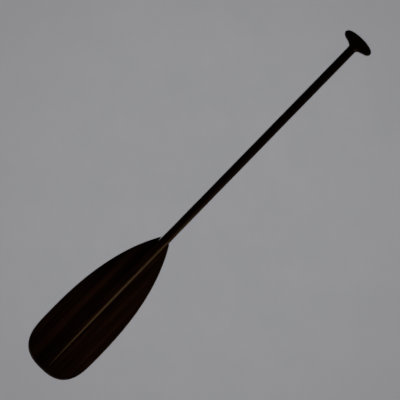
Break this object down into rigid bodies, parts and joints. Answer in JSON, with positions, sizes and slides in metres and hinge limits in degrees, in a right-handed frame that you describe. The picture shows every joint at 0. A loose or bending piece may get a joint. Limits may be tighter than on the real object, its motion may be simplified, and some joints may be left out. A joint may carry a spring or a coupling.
{
  "type": "paddle",
  "caption": "Single-bladed laminated wooden paddle with a raised spine down its rounded blade, an oval shaft and a T-grip.",
  "frame": {"origin": "under the middle of the paddle's box, on the plane that its back rests on", "axes": "+X along the shaft from the blade's tip to the grip, +Y across the blade to its left edge seen from the front, +Z out of the front face"},
  "size_m": [1.524, 0.2232, 0.031],
  "materials": {
    "core_timber": "the lightest timber of the paddle, still dark, under gloss varnish",
    "shaft_timber": "dark stained hardwood under gloss varnish",
    "board_dark": "darkest boards of the blade under gloss varnish",
    "board_mid": "middle-toned boards of the blade under gloss varnish",
    "board_red": "reddest boards of the blade under gloss varnish",
    "tip_resin": "dark cast resin, polished",
    "grip_timber": "dark stained hardwood, satin from the hand",
    "dowel_timber": "end grain of a lighter hardwood"
  },
  "bodies": {
    "root": {"shaft_core": "core_timber", "shaft_front_lamination": "shaft_timber", "shaft_back_lamination": "shaft_timber", "blade_right_strip_1": "board_mid", "blade_right_strip_2": "board_red", "blade_right_strip_3": "board_mid", "blade_right_strip_4": "board_red", "blade_left_strip_1": "board_dark", "blade_left_strip_2": "board_red", "blade_left_strip_3": "board_dark", "blade_left_strip_4": "board_mid", "blade_tip_guard": "tip_resin", "grip_front_cheek": "grip_timber", "grip_back_cheek": "grip_timber", "grip_core": "core_timber", "grip_dowel": "dowel_timber"}
  },
  "joints": []
}
